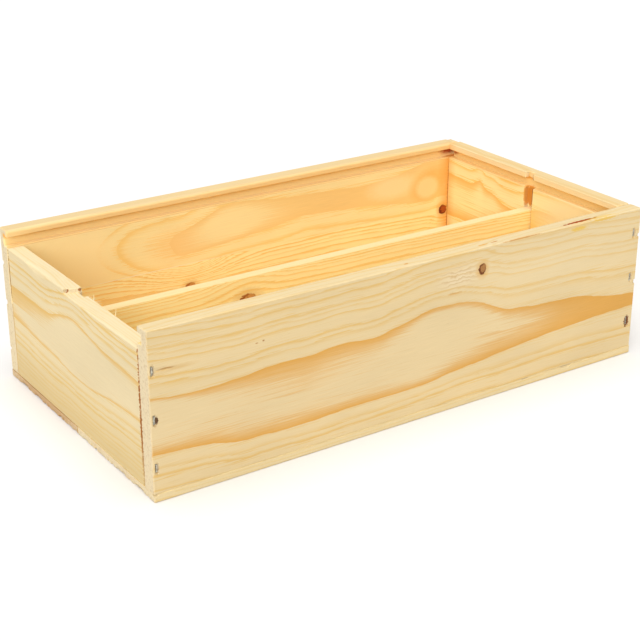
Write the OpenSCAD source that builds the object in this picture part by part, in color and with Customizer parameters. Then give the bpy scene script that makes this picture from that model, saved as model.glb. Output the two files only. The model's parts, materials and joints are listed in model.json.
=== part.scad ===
// Open pine wine box for two bottles, side by side.
// Long front and back boards cover the edges of two end boards, and two thin
// boards are stapled on below. A groove for a sliding lid runs round three
// sides, and the left end is cut lower so that the lid passes over it. A loose
// divider drops into an upright dado in each end.
// Frame: origin at the middle of the base, +X to the right along the length,
// +Y to the back, +Z up. The lid comes in from the left, at -X.

/* [Box] */
// Length over the ends of the front and back boards
box_l = 360; // [330:1:420]
// Width over the outer faces of the front and back boards
box_w = 197; // [180:1:240]
// Height of the walls above the bottom
wall_h = 97.5; // [90:0.5:130]

/* [Boards] */
// Thickness of the front and back boards
side_t = 11; // [9:0.5:15]
// Thickness of the two end boards
end_t = 10.5; // [9:0.5:15]
// Thickness of the bottom boards
bottom_t = 5; // [4:0.5:9]
// How far the bottom stands out past the front and back boards
bottom_proud = 0.5; // [0.2:0.1:2]
// Where the seam between the bottom boards lies, from mid width to the back
bottom_seam = -0.5; // [-10:0.5:10]
// Open joint between the two bottom boards
bottom_joint = 0.3; // [0.1:0.1:1]
// Height of the lower of the two back strips
back_lower_h = 49; // [35:0.5:60]
// Radius on the sawn arrises
arris_r = 0.8; // [0.3:0.1:1.2]

/* [Lid groove] */
// Height of the lip above the groove
lip_h = 4.3; // [3:0.1:7]
// Height of the groove, which takes a lid a little thinner
groove_h = 6; // [5:0.1:8]
// Depth of the groove into the boards
groove_d = 4.5; // [3:0.1:6]
// Radius on the lip's inner arris
lip_r = 1.6; // [0.5:0.1:2]

/* [Left end] */
// Drop of the left end's rear half below the groove's ledge
left_drop = 0.8; // [0.3:0.1:3]
// Further drop of its front half
left_step = 2.7; // [0.5:0.1:5]
// How far the step between the halves runs back at the outer face
step_skew = 3.5; // [0:0.5:8]
// Open joint between the left end and the front board
left_joint = 0.7; // [0.2:0.1:0.9]

/* [Divider] */
// Thickness of the divider
divider_t = 6.7; // [5:0.1:9]
// Height of the divider
divider_h = 72; // [60:0.5:80]
// Place of the divider, from mid width to the back
divider_y = -1.5; // [-10:0.5:10]
// Depth of the dado in the right end
dado_right_d = 3.5; // [2:0.1:4]
// Depth of the dado in the left end
dado_left_d = 2.2; // [1.5:0.1:4]
// Sliding clearance on each face and end of the divider
divider_fit = 0.3; // [0.2:0.05:0.6]

/* [Staples] */
// Width over the legs of a staple
crown_w = 5.8; // [4:0.1:8]
// Width of the flat wire
wire_w = 1.25; // [0.8:0.05:1.5]
// Thickness of the flat wire
wire_t = 1; // [0.6:0.05:1.2]
// Length of the legs over the crown
leg_l = 24; // [18:0.5:26]
// How deep a crown is driven below the wood's face
staple_sink = 0.5; // [0.2:0.1:1]
// Clearance of the wire in its slot
staple_fit = 0.05; // [0.02:0.01:0.1]
// Staples in each corner
corner_count = 3; // [2:1:4]
// Distance of the left corners' staples from the left face
inset_left = 2.5; // [2:0.1:6]
// Distance of the right corners' staples from the right face
inset_right = 5; // [2:0.1:6]
// Lowest left staple above the bottom
low_left = 15.5; // [10:0.5:25]
// Highest left staple below the groove's ledge
high_left = 13.5; // [6:0.5:20]
// Lowest right staple above the bottom
low_right = 19; // [10:0.5:25]
// Highest right staple below the groove's ledge
high_right = 6; // [6:0.5:20]
// Staples along each long edge of the bottom
edge_count = 4; // [2:1:6]
// Distance of the outer ones from the ends of the box
edge_inset = 32; // [25:1:60]
// Staples of each bottom board into each end board
end_count = 2; // [1:1:3]
// Distance of the first of these from mid width
end_first = 24; // [18:1:30]
// Distance between these
end_pitch = 30; // [15:1:32]

/* [Hidden] */
$fn = 48;

// Overlap of a cutting shape past the face that it opens
past = 1;
FRONT = -1;
BACK = 1;
LEFT = -1;
RIGHT = 1;

half_l = box_l / 2;
half_w = box_w / 2;
inner_l = half_l - end_t;
inner_w = half_w - side_t;
box_h = bottom_t + wall_h;
ledge_z = box_h - lip_h - groove_h;
seam_z = bottom_t + back_lower_h;
left_rear_top = ledge_z - left_drop;
left_front_top = left_rear_top - left_step;
dado_w = divider_t + 2 * divider_fit;
dado_rear_y = divider_y + dado_w / 2;

PINE = "#ecd5a2";
PINE_INSIDE = "#f6cf8c";
PINE_BOTTOM = "#e0bf8a";
STEEL = "#a9a79f";

// Extrudes a section, drawn as depth across and height, along the length.
module lengthwise(from, to) {
    translate([from, 0, 0]) rotate([90, 0, 90]) linear_extrude(to - from) children();
}

// Extrudes a section, drawn as length and height, across the width.
module crosswise(from, to) {
    translate([0, to, 0]) rotate([90, 0, 0]) linear_extrude(to - from) children();
}

// A board's section with its outer face at x = 0, and round upper arrises.
module board_section(t, h, outer_r, inner_r) {
    square([t - inner_r, h - outer_r]);
    translate([outer_r, 0]) square([t - outer_r, h - inner_r]);
    translate([outer_r, 0]) square([t - outer_r - inner_r, h]);
    translate([outer_r, h - outer_r]) circle(outer_r);
    translate([t - inner_r, h - inner_r]) circle(inner_r);
}

// The same with the lid groove under a lip at the top of its inner face.
module grooved_section(t, h) {
    difference() {
        board_section(t, h, arris_r, lip_r);
        translate([t - groove_d, h - lip_h - groove_h]) square([groove_d + past, groove_h]);
    }
}

// A staple's outline: the crown lies along x at y = 0, and the legs point up.
module staple_outline(grow) {
    outer_w = crown_w + 2 * grow;
    bend_r = wire_t;
    difference() {
        translate([-outer_w / 2, -grow]) {
            translate([0, bend_r]) square([outer_w, leg_l + 2 * grow - bend_r]);
            translate([bend_r, 0]) square([outer_w - 2 * bend_r, leg_l]);
            for (x = [bend_r, outer_w - bend_r]) translate([x, bend_r]) circle(bend_r);
        }
        translate([-crown_w / 2 + wire_t + grow, wire_t + grow])
            square([crown_w - 2 * wire_t - 2 * grow, leg_l + past]);
    }
}

// One staple, with its wire's width across z.
module staple() {
    linear_extrude(wire_w, center = true) staple_outline(0);
}

// The slot that one staple fills, with the dent over its sunk crown.
module staple_slot() {
    linear_extrude(wire_w + 2 * staple_fit, center = true) {
        staple_outline(staple_fit);
        translate([-crown_w / 2 - staple_fit, -staple_sink - past])
            square([crown_w + 2 * staple_fit, staple_sink + past + wire_t]);
    }
}

// Places a staple, or its slot, at each height in one upright corner.
module in_corner(side, end) {
    x = end == LEFT ? inset_left - half_l : half_l - inset_right;
    low = bottom_t + (end == LEFT ? low_left : low_right);
    high = ledge_z - (end == LEFT ? high_left : high_right);
    for (i = [0 : corner_count - 1])
        translate([x, side * (half_w - staple_sink), low + i * (high - low) / (corner_count - 1)])
            rotate([0, 0, side == FRONT ? 0 : 180]) rotate([0, -90, 0]) children();
}

// Places them along one long edge of the bottom, up into the board above.
module under_side(side) {
    span = 2 * (half_l - edge_inset);
    for (i = [0 : edge_count - 1])
        translate([i * span / (edge_count - 1) - span / 2, side * (half_w - side_t / 2), staple_sink])
            rotate([90, 0, 0]) children();
}

// Places them along one end of the bottom, up into the end board.
module under_end(end) {
    for (side = [FRONT, BACK], i = [0 : end_count - 1])
        translate([end * (half_l - end_t / 2), side * (end_first + i * end_pitch), staple_sink])
            rotate([90, 0, 90]) children();
}

// Slots in a long board: both corners, and the edge over the bottom.
module side_slots(side) {
    in_corner(side, LEFT) staple_slot();
    in_corner(side, RIGHT) staple_slot();
    under_side(side) staple_slot();
}

// Slots in an end board: both corners, and the edge over the bottom.
module end_slots(end) {
    in_corner(FRONT, end) staple_slot();
    in_corner(BACK, end) staple_slot();
    under_end(end) staple_slot();
}

// The upright dado that holds one end of the divider, open at the top.
module dado(end, depth) {
    from = end * (inner_l + depth);
    translate([min(from, from - end * (depth + past)), divider_y - dado_w / 2, bottom_t - past])
        cube([depth + past, dado_w, wall_h + 2 * past]);
}

// The long front board, with a stretch of lid groove from end to end.
module front_board() {
    color(PINE) difference() {
        lengthwise(-half_l, half_l) translate([-half_w, bottom_t]) grooved_section(side_t, wall_h);
        side_slots(FRONT);
    }
}

// The upper back strip, which holds the rear groove.
module back_board_upper() {
    color(PINE_INSIDE) difference() {
        lengthwise(-half_l, half_l)
            mirror([1, 0]) translate([-half_w, seam_z]) grooved_section(side_t, box_h - seam_z);
        side_slots(BACK);
    }
}

// The lower back strip, edge to edge with the upper one.
module back_board_lower() {
    color(PINE_INSIDE) difference() {
        lengthwise(-half_l, half_l) translate([inner_w, bottom_t]) square([side_t, back_lower_h]);
        side_slots(BACK);
    }
}

// The low left end that a lid slides over, stepped down over its front half.
module left_end() {
    step_inner_y = dado_rear_y;
    step_outer_y = step_inner_y + step_skew;
    color(PINE) difference() {
        crosswise(left_joint - inner_w, inner_w)
            translate([-half_l, bottom_t])
                board_section(end_t, left_rear_top - bottom_t, arris_r, arris_r);
        translate([0, 0, left_front_top]) linear_extrude(left_step + past)
            polygon([
                [-half_l - past, -half_w], [-inner_l + past, -half_w],
                [-inner_l + past, step_inner_y], [-inner_l, step_inner_y],
                [-half_l, step_outer_y], [-half_l - past, step_outer_y]
            ]);
        dado(LEFT, dado_left_d);
        end_slots(LEFT);
    }
}

// The right end, as high as the sides, where the lid's front edge stops.
module right_end() {
    color(PINE_INSIDE) difference() {
        crosswise(-inner_w, inner_w)
            mirror([1, 0]) translate([-half_l, bottom_t]) grooved_section(end_t, wall_h);
        dado(RIGHT, dado_right_d);
        end_slots(RIGHT);
    }
}

// One thin bottom board between two depths, with all its staple slots.
module bottom_board(from, to) {
    difference() {
        lengthwise(-half_l, half_l) translate([from, 0]) square([to - from, bottom_t]);
        for (side = [FRONT, BACK]) under_side(side) staple_slot();
        for (end = [LEFT, RIGHT]) under_end(end) staple_slot();
    }
}

module bottom_board_front() {
    color(PINE) bottom_board(-half_w - bottom_proud, bottom_seam - bottom_joint / 2);
}

module bottom_board_rear() {
    color(PINE_BOTTOM) bottom_board(bottom_seam + bottom_joint / 2, half_w + bottom_proud);
}

// The loose divider, which stands on the bottom and lifts out.
module divider() {
    color(PINE_INSIDE)
        lengthwise(divider_fit - inner_l - dado_left_d, inner_l + dado_right_d - divider_fit)
            translate([divider_y - divider_t / 2, bottom_t])
                board_section(divider_t, divider_h, arris_r, arris_r);
}

module staples_front_left() { color(STEEL) in_corner(FRONT, LEFT) staple(); }
module staples_front_right() { color(STEEL) in_corner(FRONT, RIGHT) staple(); }
module staples_back_left() { color(STEEL) in_corner(BACK, LEFT) staple(); }
module staples_back_right() { color(STEEL) in_corner(BACK, RIGHT) staple(); }
module staples_bottom_front() { color(STEEL) under_side(FRONT) staple(); }
module staples_bottom_back() { color(STEEL) under_side(BACK) staple(); }
module staples_bottom_left() { color(STEEL) under_end(LEFT) staple(); }
module staples_bottom_right() { color(STEEL) under_end(RIGHT) staple(); }

front_board();
back_board_upper();
back_board_lower();
left_end();
right_end();
bottom_board_front();
bottom_board_rear();
divider();
staples_front_left();
staples_front_right();
staples_back_left();
staples_back_right();
staples_bottom_front();
staples_bottom_back();
staples_bottom_left();
staples_bottom_right();
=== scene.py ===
"""Looks of an open pine wine box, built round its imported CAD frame.

Each board is lofted again over its CAD node, with softened and battered arrises and a dent
round each staple, and takes a pine finish whose growth rings run through the whole board.
The staples keep their CAD shape. Meshes are in metres in the CAD frame, and finishes, dents
and splinters are described in millimetres.
"""

import json
import logging
import math
from collections.abc import Iterable, Sequence
from dataclasses import dataclass, field, replace
from enum import Enum

import bmesh
import bpy
from bmesh.types import BMesh, BMFace, BMVert
from bpy.types import ColorRamp, Material, NodeSocket, Object
from mathutils import Matrix, Vector, noise

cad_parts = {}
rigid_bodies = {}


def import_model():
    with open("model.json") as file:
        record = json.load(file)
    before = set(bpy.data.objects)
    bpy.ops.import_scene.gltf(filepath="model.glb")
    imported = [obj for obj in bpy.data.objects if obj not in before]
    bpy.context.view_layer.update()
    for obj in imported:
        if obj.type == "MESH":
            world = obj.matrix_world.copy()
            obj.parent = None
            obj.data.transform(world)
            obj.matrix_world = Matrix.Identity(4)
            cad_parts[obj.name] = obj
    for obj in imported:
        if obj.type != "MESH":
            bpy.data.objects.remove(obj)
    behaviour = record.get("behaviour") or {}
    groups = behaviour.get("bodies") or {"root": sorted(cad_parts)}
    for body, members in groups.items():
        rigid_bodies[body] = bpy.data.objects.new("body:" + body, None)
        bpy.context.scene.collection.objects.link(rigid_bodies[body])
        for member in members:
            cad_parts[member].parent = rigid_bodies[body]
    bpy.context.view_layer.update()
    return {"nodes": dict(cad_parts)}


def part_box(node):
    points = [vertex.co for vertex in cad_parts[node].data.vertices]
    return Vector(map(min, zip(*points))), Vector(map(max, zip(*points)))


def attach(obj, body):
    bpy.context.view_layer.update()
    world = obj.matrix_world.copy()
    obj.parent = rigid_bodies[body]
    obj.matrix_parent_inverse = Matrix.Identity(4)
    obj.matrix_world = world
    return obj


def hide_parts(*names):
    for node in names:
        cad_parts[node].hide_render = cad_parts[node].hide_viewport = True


log = logging.getLogger("wine_box")

Points = tuple[tuple[float, float], ...]
Triple = tuple[float, float, float]

MM = 0.001
WELD = 1e-6
ON_PLANE = 1e-7

# How a Mix node lays one colour over another, and its sockets for colours, numbers and vectors
BLEND = {"data_type": "RGBA", "out": 2}
BASE, COAT = 6, 7
NUMBERS = (2, 3)
VECTORS, VECTOR_OUT = (4, 5), 1


class Grain(Enum):
    """Which way the fibres run, as frame axes: along them, across them, and into the face."""

    LENGTHWISE = (0, 2, 1)
    CROSSWISE = (1, 2, 0)
    FLAT = (0, 1, 2)


def linear(code: str) -> tuple[float, float, float, float]:
    """Turns an sRGB colour into linear light.

    Args:
        code: The colour as a hex value, such as "#efd9a9".

    Returns:
        Red, green, blue and an alpha of 1.
    """
    levels = (int(code[i : i + 2], 16) / 255 for i in (1, 3, 5))
    red, green, blue = (v / 12.92 if v <= 0.04045 else ((v + 0.055) / 1.055) ** 2.4 for v in levels)
    return red, green, blue, 1.0


class Net:
    """A material's node tree, with one way to add nodes to it."""

    def __init__(self, name: str) -> None:
        """Makes an empty material.

        Args:
            name: The material's name.
        """
        self.material: Material = bpy.data.materials.new(name)
        self.material.use_nodes = True
        self.tree = self.material.node_tree
        self.tree.nodes.clear()

    def add(self, kind: str, *values: object, out: int | str = 0, named: dict | None = None,
            **settings: object) -> NodeSocket:
        """Adds one node.

        Args:
            kind: The node's type, without "ShaderNode".
            *values: Its inputs in order, each a socket to link or a value to set.
            out: Which of its outputs is wanted, by number or name.
            named: Further inputs, by number or name.
            **settings: Properties of the node.

        Returns:
            The wanted output.
        """
        node = self.tree.nodes.new("ShaderNode" + kind)
        for key, value in settings.items():
            setattr(node, key, value)
        for key, value in {**dict(enumerate(values)), **(named or {})}.items():
            if isinstance(value, NodeSocket):
                self.tree.links.new(value, node.inputs[key])
            else:
                node.inputs[key].default_value = value
        return node.outputs[out] if node.outputs else node.inputs[0]

    def place(self) -> NodeSocket:
        """Gives the place on the piece, in mm."""
        metres = self.add("TexCoord", out="Object")
        return self.add("VectorMath", metres, operation="SCALE", named={"Scale": 1 / MM})


@dataclass(frozen=True)
class Pattern:
    """Noise drawn out along the grain, by the length and width of its features in mm."""

    length: float
    width: float
    detail: float = 2.0
    shift: float = 0.0


@dataclass(frozen=True)
class Spot:
    """An oval on a board's face, by its middle and half sizes along and across the grain, in mm."""

    along: float
    across: float
    half_along: float
    half_across: float


@dataclass(frozen=True)
class Knot(Spot):
    """A branch that the face cuts across, and how far and how strongly it bends the rings."""

    reach: float = 3.0
    push: float = 0.9
    heart: str = "#a98660"
    rim: str = "#5f2a12"


@dataclass(frozen=True)
class Curl(Spot):
    """Wrinkled grain beside a knot: pale, with fine wavy lines of a height and pitch in mm."""

    height: float = 1.3
    pitch: float = 2.7


@dataclass(frozen=True)
class StainAndPaintedLight:
    """A patch of other colour, by its middle and half sizes along, across and into the board, in mm: a real
    mark on the wood, or painted light or shade.
    """

    middle: Triple
    half: Triple
    colour: str
    strength: float = 0.8
    soft: float = 0.55
    ragged: float = 0.6


@dataclass(frozen=True)
class PineFinish:
    """Planed or sawn pine with no varnish: pale earlywood that darkens to orange latewood.

    The guide lines, upper and lower, follow one ring along the face. The fades say how many
    rings' width its latewood takes to fade, and lines how dark the other rings' lines are.
    """

    name: str
    grain: Grain
    face: float
    upper: Points
    lower: Points
    early: str = "#dec799"
    late: str = "#d49d48"
    line: str = "#dcb458"
    fresh_and_bounce: tuple[float, float] = (0.0, 0.0)
    fresh_and_bounce_top: float = 102.2
    ring: float = 2.3
    pith: float = 60.0
    heart: float = 1.0
    fade_upper: Points = ((-180, 2.4), (180, 2.4))
    fade_lower: Points = ((-180, 2.4), (180, 2.4))
    lines: tuple[float, float] = (0.35, 0.8)
    knots: tuple[Knot, ...] = ()
    curls: tuple[Curl, ...] = ()
    stains_and_painted_light: tuple[StainAndPaintedLight, ...] = ()
    saw_pitch: float = 0.0
    seed: float = 0.0

    def material(self) -> Material:
        """Builds the finish, read from Object coordinates."""
        return PineNodes(self).build()


class PineNodes(Net):
    """The nodes of one board's pine.

    The rings are circles round a pith that lies behind the face. Where the two guide lines
    cross, their ring closes in a point. Each ring darkens slowly and ends in a sharp line.
    """

    # Patterns, from the slow drift of the rings down to the pores. Fibres, flecks and pores are
    # drawn several times coarser than they are in pine, so that they show in the render.
    BLOTCH = Pattern(90.0, 30.0, 1.0, 17.0)
    WANDER = Pattern(55.0, 26.0)
    RIPPLE = Pattern(9.0, 5.0, 1.0, 7.0)
    WAVER = Pattern(6.0, 4.5, 2.0, 13.0)
    STREAK = Pattern(38.0, 0.6, 3.0, 3.0)
    FIBRE = Pattern(16.0, 0.35, 3.0, 11.0)
    FLECK = Pattern(5.0, 0.3, 1.0, 23.0)
    ROUGH = Pattern(2.2, 1.4, 2.0, 31.0)
    PORES = Pattern(1.3, 1.3, 4.0, 41.0)
    NOISE_MEAN = 0.5

    # What noise, nearness or distance becomes: the range that is read and the range that it gives
    WANDER_SHIFT = (0.0, 1.0, -2.0, 2.0)
    RIPPLE_SHIFT = (0.0, 1.0, -0.5, 0.5)
    WAVER_RANGE = (0.3, 0.7)
    BLOTCH_TONE = (0.3, 0.7, 0.965, 1.03)
    FIBRE_TONE = (0.3, 0.7, 0.955, 1.03)
    FLECK_MASK = (0.72, 0.82, 0.0, 0.3)
    PORE_MASK = (0.5, 0.72, 0.0, 0.34)
    END_FACING = (0.6, 0.95, 0.0, 1.0)
    CURL_PALE = (0.25, 0.85, 0.0, 0.42)
    CURL_DARK = (0.25, 0.8, 0.0, 0.52)
    CURL_LINE = (0.45, 0.95, 0.0, 1.0)
    KNOT_EDGE = (0.0, 1.0, -0.3, 0.3)
    KNOT_HALO = (1.0, 2.1, 0.5, 0.0)
    KNOT_INSIDE = (0.95, 1.08, 1.0, 0.0)
    KNOT_RIM = (0.55, 0.95, 0.0, 1.0)
    KNOT_CRACK = (0.56, 0.68, 0.0, 0.6)
    ROUGHNESS = (0.0, 1.0, 0.72, 0.55)

    # Rings
    GUIDE_SPAN = 400.0
    UNEVEN_PER_MM = 0.21
    UNEVEN_SWING = 1.1
    HEART_END = -0.98
    HEART_SKIN = (3.5, 5.5)
    HEART_FADE = ((0.0, 0.0), (0.3, 0.03), (0.5, 0.2), (0.66, 0.56), (0.85, 0.82), (1.0, 1.0))
    RING_FADE = ((0.0, 0.9), (0.05, 0.08), (0.45, 0.02), (0.7, 0.25), (0.9, 0.9), (1.0, 1.0))
    FRAY = 2.4

    # Colours
    # Inside the box: how much brighter the fresh wood with its painted bounce light is, how soft the edge of
    # that skin is, and how it fades below the rim
    FRESH_AND_BOUNCE_TINT = (1.34, 1.40, 1.24)
    FRESH_AND_BOUNCE_EDGE = 0.3
    FRESH_AND_BOUNCE_FADE = 1.0
    FLECK_COLOUR = "#a87230"
    END_COLOUR = "#e2d2b0"
    END_PALE = 0.75
    PORE_COLOUR = "#a67c48"
    CURL_COLOUR = "#e6d5b4"
    CURL_LINE_COLOUR = "#b98a4e"
    KNOT_PITH = (0.22, 0.15)
    KNOT_RING_TURN = 18.0
    KNOT_RING_DEPTH = 0.2
    STAIN_AND_LIGHT_EDGE = 1.1

    # Relief and gloss
    LATE_RELIEF = 0.4
    PORE_RELIEF = 3.0
    SAW_UNEVEN = 6.0
    SAW_RELIEF = 0.5
    BUMP = (0.35, 0.18 * MM)
    IOR = 1.45
    SPECULAR = 0.3

    def __init__(self, finish: PineFinish) -> None:
        """Starts the material with the place on the board.

        Args:
            finish: How this board's pine looks.
        """
        super().__init__(finish.name)
        self.finish = finish
        axes = self.add("SeparateXYZ", self.place()).node.outputs
        self.height = axes[2]
        self.along, self.across, depth = (axes[i] for i in finish.grain.value)
        self.into = self.add("Math", depth, finish.face, operation="SUBTRACT")
        self.point = self.add("CombineXYZ", self.along, self.across, self.into)

    def streaks(self, pattern: Pattern) -> NodeSocket:
        """Adds noise that is drawn out along the grain.

        Args:
            pattern: The noise's sizes.

        Returns:
            The noise, from 0 to 1.
        """
        seed = self.finish.seed
        sizes = (1 / pattern.length, 1 / pattern.width, 1 / pattern.width)
        scaled = self.add("VectorMath", self.point, sizes, operation="MULTIPLY")
        moved = self.add("VectorMath", scaled, (pattern.shift + seed, pattern.shift, seed), operation="ADD")
        return self.add("TexNoise", moved, named={"Scale": 1.0, "Detail": pattern.detail})

    def guide(self, points: Points) -> NodeSocket:
        """Adds a guide line as a curve of its height over the length.

        Args:
            points: The line's points, in mm.

        Returns:
            The line's height, in mm.
        """
        span = self.GUIDE_SPAN
        share = self.add("MapRange", self.along, -span / 2, span / 2, 0.0, 1.0)
        height = self.add("FloatCurve", 1.0, share)
        mapping = height.node.mapping
        mapping.extend = "HORIZONTAL"
        curve = mapping.curves[0]
        for x, y in points[1:-1]:
            curve.points.new(x / span + 0.5, y / span + 0.5)
        for index, (x, y) in ((0, points[0]), (-1, points[-1])):
            curve.points[index].location = (x / span + 0.5, y / span + 0.5)
        mapping.update()
        return self.add("MapRange", height, 0.0, 1.0, -span / 2, span / 2, clamp=False)

    def reach(self, across: NodeSocket, spot: Spot, grown: float = 1.0) -> NodeSocket:
        """Measures how far a place lies from the middle of a spot.

        Args:
            across: The place across the board, in mm.
            spot: The spot.
            grown: How many times its size it counts for.

        Returns:
            The square of the distance, which is 1 on the spot's edge.
        """
        parts = []
        for place, middle, half in ((self.along, spot.along, spot.half_along),
                                    (across, spot.across, spot.half_across)):
            offset = self.add("Math", place, middle, operation="SUBTRACT")
            parts.append(self.add("Math", offset, half * grown, operation="DIVIDE"))
        wide, tall = parts
        tall = self.add("Math", tall, tall, operation="MULTIPLY")
        return self.add("Math", wide, wide, tall, operation="MULTIPLY_ADD")

    def near(self, across: NodeSocket, spot: Spot, grown: float = 1.0) -> NodeSocket:
        """Gives 1 in the middle of a spot, and less and less further out.

        Args:
            across: The place across the board, in mm.
            spot: The spot.
            grown: How many times its size it counts for.

        Returns:
            The nearness.
        """
        away = self.add("Math", self.reach(across, spot, grown), -1.0, operation="MULTIPLY")
        return self.add("Math", away, operation="EXPONENT")

    def bend(self, across: NodeSocket, knot: Knot) -> NodeSocket:
        """Bends the rings round a knot.

        Args:
            across: The place across the board, bent so far, in mm.
            knot: The knot.

        Returns:
            The bent place.
        """
        near = self.near(across, knot, knot.reach)
        up = self.add("Math", across, knot.across, operation="SUBTRACT")
        shift = self.add("Math", near, up, operation="MULTIPLY")
        return self.add("Math", shift, -knot.push, across, operation="MULTIPLY_ADD")

    def wrinkle(self, across: NodeSocket, curl: Curl) -> NodeSocket:
        """Bends the rings into small waves in a curl.

        Args:
            across: The place across the board, bent so far, in mm.
            curl: The curl.

        Returns:
            The bent place.
        """
        near = self.near(self.across, curl)
        wave = self.add("MapRange", self.streaks(self.WAVER), *self.WAVER_RANGE, -curl.height, curl.height,
                        clamp=False)
        return self.add("Math", wave, near, across, operation="MULTIPLY_ADD")

    def rings(self, across: NodeSocket) -> tuple[NodeSocket, NodeSocket]:
        """Counts the growth rings outwards from the guide lines' ring.

        Args:
            across: The place across the board, bent round the knots, in mm.

        Returns:
            The ring count, which is below 0 inside the guide lines, and where one wide ring fills
            the space between them: 1 there and near the guides' face, 0 elsewhere.
        """
        pith, ring = self.finish.pith, self.finish.ring
        upper, lower = self.guide(self.finish.upper), self.guide(self.finish.lower)
        total = self.add("Math", upper, lower, operation="ADD")
        apart = self.add("Math", upper, lower, operation="SUBTRACT")
        middle = self.add("Math", total, 0.5, operation="MULTIPLY")
        half = self.add("Math", apart, 0.5, operation="MULTIPLY")
        chord = self.add("Math", half, self.add("Math", half, operation="ABSOLUTE"), operation="MULTIPLY")
        offset = self.add("Math", across, middle, operation="SUBTRACT")
        square = self.add("Math", offset, offset, operation="MULTIPLY")
        depth = self.add("Math", pith, self.into, operation="SUBTRACT")
        plain = self.add("Math", depth, depth, square, operation="MULTIPLY_ADD")
        squared = self.add("Math", plain, chord, operation="SUBTRACT")
        radius = self.add("Math", self.add("Math", squared, 1.0, operation="MAXIMUM"), operation="SQRT")
        count = self.add("MapRange", radius, pith, pith + ring, 0.0, 1.0, clamp=False)

        uneven = self.add("TexNoise", noise_dimensions="1D",
                          named={"W": radius, "Scale": self.UNEVEN_PER_MM, "Detail": 1.0})
        outside = self.add("MapRange", count, 0.0, 1.0, 0.0, self.UNEVEN_SWING)
        swing = self.add("Math", uneven, self.NOISE_MEAN, operation="SUBTRACT")
        count = self.add("Math", swing, outside, count, operation="MULTIPLY_ADD")

        above = self.add("Math", offset, 0.0, operation="GREATER_THAN")
        fades = (self.guide(self.finish.fade_lower), self.guide(self.finish.fade_upper))
        fade = self.add("Mix", above, named=dict(zip(NUMBERS, fades)))
        wide = self.add("Math", count, fade, operation="DIVIDE")
        wide = self.add("Math", wide, self.HEART_END, operation="MAXIMUM")
        sunk = self.add("Math", self.into, operation="ABSOLUTE")
        shallow = self.add("MapRange", sunk, *self.HEART_SKIN, 1.0, 0.0)
        inside = self.add("Math", count, 0.0, operation="LESS_THAN")
        heart = self.add("Math", inside, shallow, operation="MULTIPLY")
        return self.add("Mix", heart, named=dict(zip(NUMBERS, (count, wide)))), heart

    def darkness(self, count: NodeSocket, heart: NodeSocket) -> NodeSocket:
        """Says how dark a growth ring is.

        Args:
            count: The ring count.
            heart: Where the wide ring is, as 1.

        Returns:
            0 in earlywood, up to 1 in the guide lines' latewood.
        """
        phase = self.add("Math", count, operation="FRACT")
        number = self.add("Math", count, self.finish.seed, operation="ADD")
        number = self.add("Math", number, operation="FLOOR")
        chance = self.add("TexWhiteNoise", named={"W": number}, noise_dimensions="1D")
        fray = self.add("Math", self.add("Math", 1.0, phase, operation="SUBTRACT"), self.FRAY,
                        operation="MULTIPLY")
        sway = self.add("Math", self.streaks(self.STREAK), self.NOISE_MEAN, operation="SUBTRACT")
        soft = self.add("Math", sway, fray, phase, operation="MULTIPLY_ADD", use_clamp=True)
        core = self.add("ValToRGB", soft)
        self.stops(core.node.color_ramp, self.HEART_FADE)
        ring = self.add("ValToRGB", soft)
        self.stops(ring.node.color_ramp, self.RING_FADE)
        strength = self.add("MapRange", chance, 0.0, 1.0, *self.finish.lines)
        line = self.add("Math", ring, strength, operation="MULTIPLY")
        core = self.add("Math", core, self.finish.heart, operation="MULTIPLY")
        return self.add("Mix", heart, named=dict(zip(NUMBERS, (line, core))))

    @staticmethod
    def stops(ramp: ColorRamp, levels: Points) -> None:
        """Gives a colour ramp its grey levels.

        Args:
            ramp: The ramp.
            levels: Each stop's place and its level.
        """
        while len(ramp.elements) < len(levels):
            ramp.elements.new(0.5)
        for element, (place, level) in zip(ramp.elements, levels):
            element.position = place
            element.color = (level, level, level, 1.0)

    def build(self) -> Material:
        """Builds the pine: its rings and fibres, the marks that lie over them, and its relief.

        Returns:
            The material.
        """
        finish = self.finish
        wander = self.add("MapRange", self.streaks(self.WANDER), *self.WANDER_SHIFT)
        ripple = self.add("MapRange", self.streaks(self.RIPPLE), *self.RIPPLE_SHIFT)
        drift = self.add("Math", wander, ripple, operation="ADD")
        bent = self.add("Math", self.across, drift, operation="ADD")
        for curl in finish.curls:
            bent = self.wrinkle(bent, curl)
        for knot in finish.knots:
            bent = self.bend(bent, knot)
        count, heart = self.rings(bent)
        dark = self.darkness(count, heart)

        late = self.add("Mix", heart, named={BASE: linear(finish.line), COAT: linear(finish.late)}, **BLEND)
        colour = self.add("Mix", dark, named={BASE: linear(finish.early), COAT: late}, **BLEND)
        fibre = self.streaks(self.FIBRE)
        tone = self.add("MapRange", fibre, *self.FIBRE_TONE)
        patch = self.add("MapRange", self.streaks(self.BLOTCH), *self.BLOTCH_TONE)
        shade = self.add("Math", tone, patch, operation="MULTIPLY")
        colour = self.add("VectorMath", colour, operation="SCALE", named={"Scale": shade})
        fleck = self.add("MapRange", self.streaks(self.FLECK), *self.FLECK_MASK)
        colour = self.add("Mix", fleck, named={BASE: colour, COAT: linear(self.FLECK_COLOUR)}, **BLEND)

        end = self.end_mask()
        pores = self.streaks(self.PORES)
        rough = self.streaks(self.ROUGH)
        colour = self.fresh_and_bounce_colour(end, colour)
        colour = self.end_colour(end, pores, colour)
        for curl in finish.curls:
            colour = self.curl_colour(bent, colour, curl)
        for mark in finish.stains_and_painted_light:
            colour = self.stain_and_light_colour(rough, colour, mark)
        for knot in finish.knots:
            colour = self.knot_colour(rough, colour, knot)

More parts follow.
